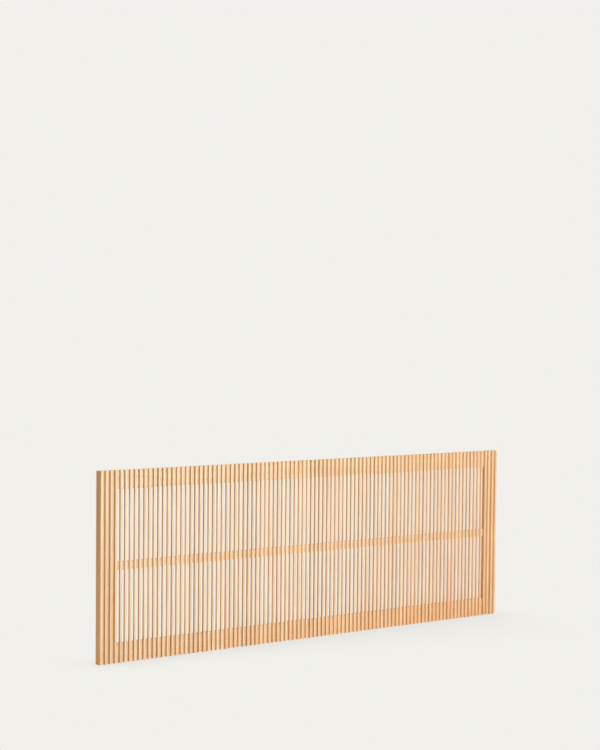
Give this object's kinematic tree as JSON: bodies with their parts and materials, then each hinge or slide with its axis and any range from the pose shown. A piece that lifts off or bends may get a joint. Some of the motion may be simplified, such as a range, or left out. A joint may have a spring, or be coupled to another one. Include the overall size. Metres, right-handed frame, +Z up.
{
  "type": "slatted headboard",
  "caption": "Wide wooden headboard panel of thin upright slats glued to a tenoned board frame with a middle rail, hung on a wall by keyhole hangers.",
  "frame": {"origin": "under the middle of the panel, on the surface it stands on, halfway through its thickness", "axes": "+X along the width, the slats face -Y, the board frame's back faces +Y, +Z up along the slats"},
  "size_m": [1.77, 0.026, 0.6],
  "materials": {
    "slat_wood": "fine sanded, clear matt oil, upright grain",
    "frame_wood": "sanded, clear matt oil, grain along each board",
    "tenon_wood": "planed beech, unfinished",
    "plate_steel": "bright zinc plate, satin",
    "screw_steel": "bright zinc plate"
  },
  "bodies": {
    "root": {"left_stile": "frame_wood", "right_stile": "frame_wood", "bottom_rail": "frame_wood", "middle_rail": "frame_wood", "top_rail": "frame_wood", "corner_tenons": "tenon_wood", "middle_rail_tenons": "tenon_wood", "hanger_left": "plate_steel", "hanger_right": "plate_steel", "hanger_screws": "screw_steel", "slat_01_02": "slat_wood", "slat_03_04": "slat_wood", "slat_05_06": "slat_wood", "slat_07_08": "slat_wood", "slat_09_10": "slat_wood", "slat_11_12": "slat_wood", "slat_13_14": "slat_wood", "slat_15_16": "slat_wood", "slat_17_18": "slat_wood", "slat_19_20": "slat_wood", "slat_21_22": "slat_wood", "slat_23_24": "slat_wood", "slat_25_26": "slat_wood", "slat_27_28": "slat_wood", "slat_29_30": "slat_wood", "slat_31_32": "slat_wood", "slat_33_34": "slat_wood", "slat_35_36": "slat_wood", "slat_37_38": "slat_wood", "slat_39_40": "slat_wood", "slat_41_42": "slat_wood", "slat_43_44": "slat_wood", "slat_45_46": "slat_wood", "slat_47_48": "slat_wood", "slat_49_50": "slat_wood", "slat_51_52": "slat_wood", "slat_53_54": "slat_wood", "slat_55_56": "slat_wood", "slat_57_58": "slat_wood", "slat_59_60": "slat_wood", "slat_61_62": "slat_wood", "slat_63_64": "slat_wood", "slat_65_66": "slat_wood", "slat_67_68": "slat_wood", "slat_69_70": "slat_wood", "slat_71_72": "slat_wood", "slat_73_74": "slat_wood", "slat_75_76": "slat_wood", "slat_77_78": "slat_wood", "slat_79_80": "slat_wood", "slat_81_82": "slat_wood", "slat_83_84": "slat_wood", "slat_85_86": "slat_wood", "slat_87_88": "slat_wood", "slat_89_90": "slat_wood", "slat_91_92": "slat_wood", "slat_93_94": "slat_wood", "slat_95_96": "slat_wood", "slat_97": "slat_wood"}
  },
  "joints": []
}
